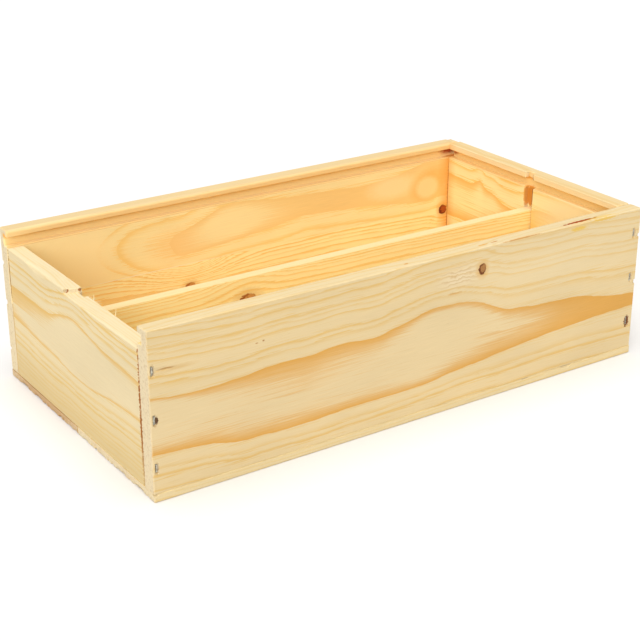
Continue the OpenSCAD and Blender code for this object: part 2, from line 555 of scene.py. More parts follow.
        relief = self.add("Math", dark, self.LATE_RELIEF, fibre, operation="MULTIPLY_ADD")
        pits = self.add("Math", end, pores, operation="MULTIPLY")
        relief = self.add("Math", pits, self.PORE_RELIEF, relief, operation="MULTIPLY_ADD")
        if finish.saw_pitch:
            relief = self.saw_marks(rough, relief)
        gloss = self.add("MapRange", dark, *self.ROUGHNESS)
        bump = self.add("Bump", *self.BUMP, named={"Height": relief})
        shader = self.add("BsdfPrincipled", colour, named={
            "Roughness": gloss, "Normal": bump, "IOR": self.IOR, "Specular IOR Level": self.SPECULAR})
        self.add("OutputMaterial", shader)
        return self.material

    def fresh_and_bounce_colour(self, end: NodeSocket, colour: NodeSocket) -> NodeSocket:
        """Brightens the faces inside the box: the paler colour of newly planed wood, and painted bounce light
        that the box's walls throw on each other.

        Args:
            end: Where faces cut across the grain, as 1.
            colour: The weathered wood's colour.

        Returns:
            The colour, brighter between the given depths and below the rim, but not on end grain.
        """
        low, high = self.finish.fresh_and_bounce
        if low == high:
            return colour
        middle, half = (low + high) / 2, (high - low) / 2
        off = self.add("Math", self.into, middle, operation="SUBTRACT")
        off = self.add("Math", off, operation="ABSOLUTE")
        skin = self.add("MapRange", off, half, half + self.FRESH_AND_BOUNCE_EDGE, 1.0, 0.0)
        top = self.finish.fresh_and_bounce_top
        skin = self.add("MapRange", self.height, top - self.FRESH_AND_BOUNCE_FADE, top, skin, 0.0)
        side = self.add("Math", 1.0, end, operation="SUBTRACT")
        skin = self.add("Math", skin, side, operation="MULTIPLY")
        tints = dict(zip(VECTORS, ((1.0, 1.0, 1.0), self.FRESH_AND_BOUNCE_TINT)))
        tint = self.add("Mix", skin, out=VECTOR_OUT, named=tints, data_type="VECTOR")
        return self.add("VectorMath", colour, tint, operation="MULTIPLY")

    def curl_colour(self, bent: NodeSocket, colour: NodeSocket, curl: Curl) -> NodeSocket:
        """Paints a curl: paler wood with fine lines that follow its waves.

        Args:
            bent: The place across the board, bent into the curl's waves, in mm.
            colour: The wood's colour round it.
            curl: The curl.

        Returns:
            The colour with the curl.
        """
        near = self.near(self.across, curl)
        pale = self.add("MapRange", near, *self.CURL_PALE)
        colour = self.add("Mix", pale, named={BASE: colour, COAT: linear(self.CURL_COLOUR)}, **BLEND)
        turn = self.add("Math", bent, curl.pitch, operation="DIVIDE")
        line = self.add("MapRange", self.add("Math", turn, operation="FRACT"), *self.CURL_LINE)
        mask = self.add("Math", self.add("MapRange", near, *self.CURL_DARK), line, operation="MULTIPLY")
        return self.add("Mix", mask, named={BASE: colour, COAT: linear(self.CURL_LINE_COLOUR)}, **BLEND)

    def knot_colour(self, rough: NodeSocket, colour: NodeSocket, knot: Knot) -> NodeSocket:
        """Paints a knot: a brown heart with its own rings and a dark rim, in a halo of orange wood.

        Args:
            rough: Noise that makes its edge uneven.
            colour: The wood's colour round it.
            knot: The knot.

        Returns:
            The colour with the knot.
        """
        edge = self.add("MapRange", rough, *self.KNOT_EDGE)
        pith = replace(knot, along=knot.along + self.KNOT_PITH[0] * knot.half_along,
                       across=knot.across + self.KNOT_PITH[1] * knot.half_across)
        radius, inner = (
            self.add("Math", self.add("Math", self.reach(self.across, spot), operation="SQRT"), edge,
                     operation="ADD")
            for spot in (knot, pith)
        )
        halo = self.add("MapRange", radius, *self.KNOT_HALO)
        colour = self.add("Mix", halo, named={BASE: colour, COAT: linear(self.finish.late)}, **BLEND)
        rim = self.add("MapRange", inner, *self.KNOT_RIM)
        crack = self.add("MapRange", rough, *self.KNOT_CRACK)
        rim = self.add("Math", rim, crack, operation="ADD")
        circle = self.add("Math", inner, self.KNOT_RING_TURN, operation="MULTIPLY")
        circle = self.add("Math", circle, operation="SINE")
        rim = self.add("Math", circle, self.KNOT_RING_DEPTH, rim, operation="MULTIPLY_ADD", use_clamp=True)
        core = self.add("Mix", rim, named={BASE: linear(knot.heart), COAT: linear(knot.rim)}, **BLEND)
        inside = self.add("MapRange", radius, *self.KNOT_INSIDE)
        return self.add("Mix", inside, named={BASE: colour, COAT: core}, **BLEND)

    def stain_and_light_colour(self, rough: NodeSocket, colour: NodeSocket, mark: StainAndPaintedLight) -> NodeSocket:
        """Paints a patch with an uneven edge: a real mark on the wood, or painted light or shade.

        Args:
            rough: Noise that makes its edge uneven.
            colour: The wood's colour round it.
            mark: The stain.

        Returns:
            The colour with the stain.
        """
        offset = self.add("VectorMath", self.point, mark.middle, operation="SUBTRACT")
        share = self.add("VectorMath", offset, mark.half, operation="DIVIDE")
        reach = self.add("VectorMath", share, out="Value", operation="LENGTH")
        edge = self.add("MapRange", rough, 0.0, 1.0, -mark.ragged, mark.ragged)
        uneven = self.add("Math", reach, edge, operation="ADD")
        last = self.STAIN_AND_LIGHT_EDGE
        mask = self.add("MapRange", uneven, last - mark.soft, last, mark.strength, 0.0)
        return self.add("Mix", mask, named={BASE: colour, COAT: linear(mark.colour)}, **BLEND)

    def end_mask(self) -> NodeSocket:
        """Finds the faces that cut across the grain.

        Returns:
            1 on these faces, and 0 on the others.
        """
        normal = self.add("NewGeometry", out="Normal")
        facing = self.add("SeparateXYZ", normal, out=self.finish.grain.value[0])
        return self.add("MapRange", self.add("Math", facing, operation="ABSOLUTE"), *self.END_FACING)

    def end_colour(self, end: NodeSocket, pores: NodeSocket, colour: NodeSocket) -> NodeSocket:
        """Paints the faces that cut across the grain: duller, with dark pores.

        Args:
            end: Where these faces are, as 1.
            pores: Fine noise.
            colour: The wood's colour.

        Returns:
            The colour with its end grain.
        """
        pale = self.add("Math", end, self.END_PALE, operation="MULTIPLY")
        colour = self.add("Mix", pale, named={BASE: colour, COAT: linear(self.END_COLOUR)}, **BLEND)
        dots = self.add("MapRange", pores, *self.PORE_MASK)
        mask = self.add("Math", dots, end, operation="MULTIPLY")
        return self.add("Mix", mask, named={BASE: colour, COAT: linear(self.PORE_COLOUR)}, **BLEND)

    def saw_marks(self, rough: NodeSocket, relief: NodeSocket) -> NodeSocket:
        """Adds the upright scores that a saw leaves on an edge.

        Args:
            rough: Noise that makes the scores uneven.
            relief: The surface's height so far.

        Returns:
            The height with the scores.
        """
        turn = self.add("Math", self.along, 2 * math.pi / self.finish.saw_pitch, operation="MULTIPLY")
        uneven = self.add("Math", rough, self.SAW_UNEVEN, turn, operation="MULTIPLY_ADD")
        wave = self.add("Math", uneven, operation="SINE")
        return self.add("Math", wave, self.SAW_RELIEF, relief, operation="MULTIPLY_ADD")


@dataclass(frozen=True)
class WireFinish:
    """Galvanised steel wire: dull grey zinc, clouded with darker tarnish."""

    name: str = "galvanised_wire"
    zinc: str = "#c9c6b7"
    tarnish: str = "#857d6c"
    metallic: float = 0.7

    CLOUDS_PER_MM = 0.9
    CLOUD_DETAIL = 3.0
    TARNISH_MASK = (0.4, 0.65, 0.0, 1.0)
    ROUGHNESS = (0.3, 0.7, 0.34, 0.6)
    BUMP = (0.3, 0.1 * MM)

    def material(self) -> Material:
        """Builds the finish.

        Returns:
            The material, read from Object coordinates.
        """
        net = Net(self.name)
        sizes = {"Scale": self.CLOUDS_PER_MM, "Detail": self.CLOUD_DETAIL}
        cloud = net.add("TexNoise", net.place(), named=sizes)
        mask = net.add("MapRange", cloud, *self.TARNISH_MASK)
        colour = net.add("Mix", mask, named={BASE: linear(self.zinc), COAT: linear(self.tarnish)}, **BLEND)
        rough = net.add("MapRange", cloud, *self.ROUGHNESS)
        bump = net.add("Bump", *self.BUMP, named={"Height": cloud})
        shader = net.add("BsdfPrincipled", colour, self.metallic, rough, named={"Normal": bump})
        net.add("OutputMaterial", shader)
        return net.material


@dataclass(frozen=True)
class Dent:
    """A dent or break in a board, by its middle and half sizes in the frame, and its depth, in mm.

    A squareness of 2 makes it round, and more makes it squarer with a flatter floor.
    """

    middle: Triple
    half: Triple
    depth: float
    squareness: int = 2


@dataclass(frozen=True)
class Splinter:
    """A torn fibre that stands off a board, from its root to its tip, in mm."""

    root: Triple
    tip: Triple
    width: float = 0.5


def loft(sections: Sequence[Sequence[Vector]]) -> BMesh:
    """Makes a closed solid through sections that have the same number of points.

    Args:
        sections: The outline at each place, first to last.

    Returns:
        The solid.
    """
    bm = bmesh.new()
    face = bm.faces.new([bm.verts.new(point) for point in sections[0]])
    for number, section in enumerate(sections[1:]):
        made = bmesh.ops.extrude_face_region(bm, geom=[face])
        if number:
            bmesh.ops.delete(bm, geom=[face], context="FACES_ONLY")
        face = next(item for item in made["geom"] if isinstance(item, BMFace))
        for vert, point in zip(face.verts, section):
            vert.co = point
    bmesh.ops.remove_doubles(bm, verts=bm.verts, dist=WELD)
    bmesh.ops.dissolve_degenerate(bm, edges=bm.edges, dist=WELD)
    bmesh.ops.recalc_face_normals(bm, faces=bm.faces)
    return bm


def cut_across(bm: BMesh, faces: Iterable[BMFace], axis: int, places: Iterable[float]) -> list[BMFace]:
    """Cuts faces in two at planes across an axis.

    Args:
        bm: The mesh.
        faces: The faces to cut.
        axis: The axis, 0 to 2.
        places: Where the planes lie, in metres.

    Returns:
        All the faces that they became.
    """
    normal = Vector((0.0, 0.0, 0.0))
    normal[axis] = 1.0
    done: list[BMFace] = []
    ahead = list(faces)
    for place in sorted(places):
        geom = dict.fromkeys(item for f in ahead for item in (f, *f.edges, *f.verts))
        made = bmesh.ops.bisect_plane(bm, geom=list(geom), dist=ON_PLANE, plane_co=normal * place,
                                      plane_no=normal)
        ahead = []
        for item in made["geom"]:
            if isinstance(item, BMFace):
                beyond = max(vert.co[axis] for vert in item.verts) > place + ON_PLANE
                (ahead if beyond else done).append(item)
    return done + ahead


def spaced(start: float, stop: float, pitch: float) -> list[float]:
    """Gives places between two ends, a pitch apart.

    Args:
        start: The first end, which isn't a place.
        stop: The other end, which isn't one either.
        pitch: The distance aimed at.

    Returns:
        The places.
    """
    count = max(1, round((stop - start) / pitch))
    return [start + (stop - start) * i / count for i in range(1, count)]


def staple_boxes(node: Object) -> list[tuple[Vector, Vector]]:
    """Finds each staple of a CAD node.

    Args:
        node: The node's object.

    Returns:
        Lowest and highest corner of each staple, in metres.
    """
    bm = bmesh.new()
    bm.from_mesh(node.data)
    bmesh.ops.remove_doubles(bm, verts=bm.verts, dist=WELD)
    left = dict.fromkeys(bm.verts)
    boxes = []
    while left:
        found = [next(iter(left))]
        del left[found[0]]
        for vert in found:
            for edge in vert.link_edges:
                other = edge.other_vert(vert)
                if other in left:
                    del left[other]
                    found.append(other)
        corners = [[pick(vert.co[i] for vert in found) for i in range(3)] for pick in (min, max)]
        boxes.append((Vector(corners[0]), Vector(corners[1])))
    bm.free()
    return boxes


@dataclass
class Board:
    """A pine board that stands for one CAD node."""

    node: str
    slot: str
    finish: PineFinish
    stapled: tuple[str, ...] = ()
    body: str = "box"
    arris: float = 0.45
    wear: float = 0.3
    bites: float = 2.0
    step: float = 1.8
    dents: tuple[Dent, ...] = ()
    splinters: tuple[Splinter, ...] = ()
    tight: tuple[float, ...] = ()
    low: Vector = field(init=False)
    high: Vector = field(init=False)

    # The axis that the sections follow, and where faces are cut: from the edges, and over a dent
    RUN = 0
    EDGE_ROWS = (0.9, 2.0)
    CROSS_PITCH = 9.0
    DENT_MARGIN = 5.0
    DENT_ROWS = (-1.0, -0.8, -0.5, 0.0, 0.5, 0.8, 1.0)

    # Arrises: one in a seam is tight, and a wide one has a segment more
    SEAM_ARRIS = 0.12
    WIDE_ARRIS = 1.0
    NEAR = 0.1
    SHARP = math.radians(50)
    SMOOTH = math.radians(35)
    FLAT = 0.9995

    # Staples: the dent that a crown is driven into, and the stain in it
    STAPLE_THIN = 10.0
    POCKET_PLAY = 0.55
    POCKET_SINK = 1.5
    POCKET_DEPTH = 1.15
    POCKET_SQUARENESS = 6
    RUST_COLOUR = "#9c7442"
    RUST_GROWN = 1.15
    RUST_STRENGTH = 0.6

    # Wear: the sizes of its noise, how far an arris is worn, and how steep and ragged dents are
    RUB_SIZE, BITE_SIZE, RAGGED_SIZE = 7.0, 3.1, 1.3
    BITE_SHIFT = (9, 5, 3)
    BITE_FLOOR = 0.35
    WORN_FROM, WORN_OVER = 0.985, 0.2
    DENT_STEEP = 2.2
    RAGGED_MEAN, RAGGED_SWING = 0.85, 0.3
    TIP_RADIUS = 0.04
    SPLINTER_SIDES = 5

    def __post_init__(self) -> None:
        """Takes the board's box from the frame."""
        self.low, self.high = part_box(self.node)

    def outline(self) -> list[list[Vector]]:
        """Gives the sections of a plain board, from end to end.

        Returns:
            The outline at each end.
        """
        low, high = self.low, self.high
        return [[Vector((x, low.y, low.z)), Vector((x, low.y, high.z)), Vector((x, high.y, high.z)),
                 Vector((x, high.y, low.z))] for x in (low.x, high.x)]

    def radius_at(self, middle: Vector) -> float:
        """Gives the radius of the arris whose edge has this middle, in mm."""
        in_seam = any(abs(middle.z / MM - seam) < self.NEAR for seam in self.tight)
        return self.SEAM_ARRIS if in_seam else self.arris

    def soften(self, bm: BMesh) -> None:
        """Rounds the arrises, the widest first.

        Args:
            bm: The board's mesh.
        """
        radii = sorted({self.radius_at((e.verts[0].co + e.verts[1].co) / 2) for e in bm.edges}, reverse=True)
        for radius in radii:
            edges = [e for e in bm.edges if e.calc_face_angle(0.0) > self.SHARP
                     and self.radius_at((e.verts[0].co + e.verts[1].co) / 2) == radius]
            bmesh.ops.bevel(bm, geom=edges, offset=radius * MM, segments=3 if radius > self.WIDE_ARRIS else 2,
                            profile=0.5, affect="EDGES", material=-1, clamp_overlap=True)

    def slice(self, bm: BMesh) -> None:
        """Cuts the board into short lengths and rows, so that its arrises and faces can be uneven.

        Args:
            bm: The board's mesh.
        """
        faces = list(bm.faces)
        for axis in range(3):
            low, high = self.low[axis], self.high[axis]
            rows = [place for row in self.EDGE_ROWS for place in (low + row * MM, high - row * MM)]
            pitch = self.step if axis == self.RUN else self.CROSS_PITCH
            inner = self.EDGE_ROWS[-1] * MM
            rows += spaced(low + inner, high - inner, pitch * MM)
            faces = cut_across(bm, faces, axis, rows)

    def refine(self, bm: BMesh, dent: Dent) -> None:
        """Cuts the mesh finer round a dent.

        Args:
            bm: The board's mesh.
            dent: The dent.
        """
        middle, half = Vector(dent.middle), Vector(dent.half)
        faces = []
        for face in bm.faces:
            offset = face.calc_center_median() / MM - middle
            if all(abs(offset[i]) < half[i] + self.DENT_MARGIN for i in range(3)):
                faces.append(face)
        for axis in range(3):
            rows = [middle[axis] + half[axis] * share for share in self.DENT_ROWS]
            faces = cut_across(bm, faces, axis, [row * MM for row in rows])

    def pockets(self, nodes: dict[str, Object]) -> list[Dent]:
        """Finds the dents that staples are driven into.

        Args:
            nodes: The frame's nodes by name.

        Returns:
            One dent round each staple's crown.
        """
        found = []
        for low, high in (box for name in self.stapled for box in staple_boxes(nodes[name])):
            middle = (low + high) / 2
            thin = [i for i in range(3) if high[i] - low[i] < self.STAPLE_THIN * MM]
            if any(not self.low[i] < middle[i] < self.high[i] for i in thin):
                continue
            gaps = [(abs(low[i] - self.low[i]), i, self.low[i]) for i in range(3)]
            gaps += [(abs(self.high[i] - high[i]), i, self.high[i]) for i in range(3)]
            _, axis, face = min(gaps)
            middle[axis] = face
            half = (high - low) / 2 / MM + Vector((self.POCKET_PLAY,) * 3)
            half[axis] = self.POCKET_SINK
            found.append(Dent(tuple(middle / MM), tuple(half), self.POCKET_DEPTH, self.POCKET_SQUARENESS))
        return found

    def rust(self, pocket: Dent) -> StainAndPaintedLight:
        """Gives the grey-brown stain that a staple leaves in its pocket.

        Args:
            pocket: The dent that the staple is driven into.

        Returns:
            The stain, as the board's finish places it.
        """
        axes = self.finish.grain.value
        middle = [pocket.middle[i] for i in axes]
        middle[2] -= self.finish.face
        half = tuple(pocket.half[i] * self.RUST_GROWN for i in axes)
        return StainAndPaintedLight(tuple(middle), half, self.RUST_COLOUR, self.RUST_STRENGTH)

    def worn(self, vert: BMVert) -> float:
        """Says how much of an arris's wear a vertex takes, from 0 on a flat to 1 on the arris."""
        flat = max(abs(part) for part in vert.normal)
        return min(1.0, max(0.0, (self.WORN_FROM - flat) / self.WORN_OVER))

    def batter(self, bm: BMesh, dents: Sequence[Dent]) -> None:
        """Wears the arrises and presses in the dents.

        Args:
            bm: The board's mesh.
            dents: The dents.
        """
        bm.normal_update()
        for vert in bm.verts:
            place = vert.co / MM
            rub = 0.5 + 0.5 * noise.noise(place / self.RUB_SIZE)
            bite = noise.noise(place / self.BITE_SIZE + Vector(self.BITE_SHIFT)) - self.BITE_FLOOR
            depth = self.worn(vert) * self.wear * (rub + max(0.0, bite) * self.bites)
            for dent in dents:
                parts = (abs(place[i] - dent.middle[i]) / dent.half[i] for i in range(3))
                share = sum(part ** dent.squareness for part in parts)
                if share < 1:
                    ragged = self.RAGGED_MEAN + self.RAGGED_SWING * noise.noise(place / self.RAGGED_SIZE)
                    depth += dent.depth * min(1.0, self.DENT_STEEP * (1 - share)) * ragged
            if depth > 0:
                vert.co -= vert.normal * depth * MM

    def tear(self, bm: BMesh) -> None:
        """Adds the torn fibres.

        Args:
            bm: The board's mesh.
        """
        for splinter in self.splinters:
            root, tip = Vector(splinter.root) * MM, Vector(splinter.tip) * MM
            way = tip - root
            turn = way.to_track_quat("Z", "Y").to_matrix().to_4x4()
            bmesh.ops.create_cone(bm, cap_ends=True, segments=self.SPLINTER_SIDES, depth=way.length,
                                  radius1=splinter.width / 2 * MM, radius2=self.TIP_RADIUS * MM,
                                  matrix=Matrix.Translation((root + tip) / 2) @ turn)

    def build(self, nodes: dict[str, Object]) -> Object:
        """Builds the board and dresses it.

        Args:
            nodes: The frame's nodes by name.

        Returns:
            The finished piece.
        """
        bm = loft(self.outline())
        self.soften(bm)
        self.slice(bm)
        pockets = self.pockets(nodes)
        dents = [*pockets, *self.dents]
        for dent in dents:
            self.refine(bm, dent)
        self.batter(bm, dents)
        self.tear(bm)
        mesh = bpy.data.meshes.new(self.node + "_pine")
        bm.to_mesh(mesh)
        bm.free()
        mesh.set_sharp_from_angle(angle=self.SMOOTH)
        for polygon in mesh.polygons:
            polygon.use_smooth = max(abs(part) for part in polygon.normal) < self.FLAT
        piece = bpy.data.objects.new(self.node + "_pine", mesh)
        bpy.context.scene.collection.objects.link(piece)
        stains_and_painted_light = (*self.finish.stains_and_painted_light, *(self.rust(pocket) for pocket in pockets))
        mesh.materials.append(replace(self.finish, stains_and_painted_light=stains_and_painted_light).material())
        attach(piece, self.body)
        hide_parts(self.node)
        log.info("%s: %d faces, %d staple dents", piece.name, len(mesh.polygons), len(pockets))
        return piece


@dataclass
class GroovedBoard(Board):
    """A board with the lid groove under a lip on its inner face."""

    lip_h: float = 4.3
    groove_h: float = 6.0
    groove_d: float = 4.5

    def section(self, outer: float, inner: float, web: float) -> Points:
        """Gives the grooved section.

        Args:
            outer: Where the outer face lies, in metres.
            inner: Where the inner face lies.
            web: Where the bottom of the groove lies.

        Returns:
            The corners, each by its place across the board and its height.
        """
        low, high = self.low.z, self.high.z
        lip = high - self.lip_h * MM
        ledge = lip - self.groove_h * MM
        return ((outer, low), (outer, high), (inner, high), (inner, lip), (web, lip), (web, ledge),
                (inner, ledge), (inner, low))


@dataclass
class LongSide(GroovedBoard):
    """A long side of the box, whose lip has a round inner arris."""

    inner: float = 1.0
    lip_r: float = 1.6

    def outline(self) -> list[list[Vector]]:
        """Gives the sections of a grooved board.

        Returns:
            The outline at each end.
        """
        low, high = self.low, self.high
        outer_y, inner_y = (low.y, high.y) if self.inner > 0 else (high.y, low.y)
        section = self.section(outer_y, inner_y, inner_y - self.inner * self.groove_d * MM)
        return [[Vector((x, y, z)) for y, z in section] for x in (low.x, high.x)]

    def radius_at(self, middle: Vector) -> float:
        """Gives the lip's inner arris its own radius.

        Args:
            middle: The middle of an edge, in metres.

        Returns:
            The radius of its arris, in mm.
        """
        inner_y = self.high.y if self.inner > 0 else self.low.y
        near = self.NEAR * MM
        at_lip = abs(middle.y - inner_y) < near and abs(middle.z - self.high.z) < near
        return self.lip_r if at_lip else super().radius_at(middle)


@dataclass
class RightEnd(GroovedBoard):
    """The full-height end, with the lid groove and the divider's dado."""

    dado_y: tuple[float, float] = (-5.15, 2.15)
    dado_d: float = 3.5

    RUN = 1

    def outline(self) -> list[list[Vector]]:
        """Gives the grooved sections along the board.

        Returns:
            The outline at each place, set back where the dado is.
        """
        low, high = self.low, self.high
        web_x = low.x + self.groove_d * MM
        front, rear = (y * MM for y in self.dado_y)
        set_back = self.dado_d * MM
        runs = ((low.y, 0.0), (front, 0.0), (front, set_back), (rear, set_back), (rear, 0.0), (high.y, 0.0))
        return [[Vector((x, y, z)) for x, z in self.section(high.x, low.x + back, web_x)] for y, back in runs]


@dataclass
class LeftEnd(Board):
    """The low end that a lid slides over, with a skewed step and a shallow dado."""

    front_top: float = 88.7
    step_y: tuple[float, float] = (5.65, 2.15)
    dado_front: float = -5.15
    dado_d: float = 2.2
    wane_y: tuple[float, float] = (22.0, 64.0)
    wane_low: float = 80.0
    wane_drop: float = 3.6
    wane_reach: float = 1.2

    RUN = 1

    def outline(self) -> list[list[Vector]]:
        """Gives the sections along the board.

        Returns:
            The outline at each place, lower in front of the step and set back at the dado.
        """
        low, high = self.low, self.high
        outer_step, inner_step = (y * MM for y in self.step_y)
        front = self.dado_front * MM
        set_back = self.dado_d * MM
        top = self.front_top * MM
        runs = ((low.y, low.y, top, 0.0), (front, front, top, 0.0), (front, front, top, set_back),
                (outer_step, inner_step, top, set_back), (outer_step, inner_step, high.z, 0.0),
                (high.y, high.y, high.z, 0.0))
        sections = []
        for outer_y, inner_y, top_z, back in runs:
            inner_x = high.x - back
            sections.append([Vector((low.x, outer_y, low.z)), Vector((low.x, outer_y, top_z)),
                             Vector((inner_x, inner_y, top_z)), Vector((inner_x, inner_y, low.z))])
        return sections

    def batter(self, bm: BMesh, dents: Sequence[Dent]) -> None:
        """Wears the board, and planes away the outer arris of its rear half where it wanes.

        Args:
            bm: The board's mesh.
            dents: The dents.
        """
        super().batter(bm, dents)
        start, stop = self.wane_y
        for vert in bm.verts:
            x, y, z = vert.co / MM
            outward = 1.0 - min(1.0, (x - self.low.x / MM) / self.wane_reach)
            if start < y < stop and z > self.wane_low and outward > 0:
                swell = math.sin(math.pi * (y - start) / (stop - start)) ** 2
                height = (z - self.wane_low) / (self.high.z / MM - self.wane_low)
                vert.co.z -= self.wane_drop * swell * height ** 2 * outward * MM


@dataclass
class StapleRow:
    """Staples that share a CAD node, and keep its shape under a wire finish."""

    node: str
    finish: Material
    weld: float = 0.01
    round_off: float = 0.18

    def dress(self, nodes: dict[str, Object]) -> None:
        """Gives the staples their finish.

        Args:
            nodes: The frame's nodes by name.
        """
        wire = nodes[self.node]
        wire.data.materials.clear()
        wire.data.materials.append(self.finish)
        weld = wire.modifiers.new("weld", "WELD")
        weld.merge_threshold = self.weld * MM
        round_off = wire.modifiers.new("round_off", "BEVEL")
        round_off.width = self.round_off * MM
        round_off.segments = 2
        log.info("%s dressed", self.node)


@dataclass
class Studio:
    """A pale floor, soft light from above, and the camera."""

    eye: Triple = (-0.4860, -0.7173, 0.4014)
    turn: float = -33.85
    tilt: float = 23.13
    lens: float = 80.83
    sensor: float = 36.0
    floor: str = "#e9e8e7"
    floor_gap: float = 0.1
    floor_half: float = 6.0
    floor_matt: float = 0.9
    sky: float = 0.34

    def build(self) -> None:
        """Sets the stage."""
        scene = bpy.context.scene
        scene.view_settings.view_transform = "Standard"
        camera = bpy.data.cameras.new("camera")
        camera.lens = self.lens
        camera.sensor_width = self.sensor
        view = bpy.data.objects.new("camera", camera)
        view.location = self.eye
        view.rotation_euler = (math.radians(90 - self.tilt), 0.0, math.radians(self.turn))
        scene.collection.objects.link(view)
        scene.camera = view

        bm = bmesh.new()
        bmesh.ops.create_grid(bm, x_segments=1, y_segments=1, size=self.floor_half)
        mesh = bpy.data.meshes.new("floor")
        bm.to_mesh(mesh)
        bm.free()
        floor = bpy.data.objects.new("floor", mesh)
        floor.location.z = -self.floor_gap * MM
        scene.collection.objects.link(floor)
        # Painted board: pale and matt, so it shows no reflection
        net = Net("pale_painted_board")
        shader = net.add("BsdfPrincipled", linear(self.floor), named={"Roughness": self.floor_matt})
        net.add("OutputMaterial", shader)
        mesh.materials.append(net.material)

        world = bpy.data.worlds.new("studio")
        world.use_nodes = True
        sky = world.node_tree.nodes["Background"].inputs
        sky["Color"].default_value = (1.0, 1.0, 1.0, 1.0)
        sky["Strength"].default_value = self.sky
        scene.world = world
        self.panel("overhead", way=(-0.1, -0.1, 1.0), width=60.0, strength=0.77)
        self.panel("key", way=(-0.63, -0.64, 0.42), width=35.0, strength=0.5)
        log.info("studio set")

    @staticmethod
    def panel(name: str, way: Triple, width: float, strength: float) -> None:
        """Sets up a wide soft light, far enough off to be even over the whole floor.

        Args:
            name: The light's name.
            way: The direction that it comes from.
            width: The angle that it fills, seen from the box, in degrees.
            strength: Its strength, as a share of the light that makes a white card white.
        """
        light = bpy.data.lights.new(name, "SUN")
        light.angle = math.radians(width)
        light.energy = strength * math.pi
        lamp = bpy.data.objects.new(name, light)
        lamp.location = way
        lamp.rotation_mode = "QUATERNION"
        lamp.rotation_quaternion = (-Vector(way)).to_track_quat("-Z", "Y")
        bpy.context.scene.collection.objects.link(lamp)


# A patch with this half size runs the whole length or height of a board
WHOLE = 4000.0

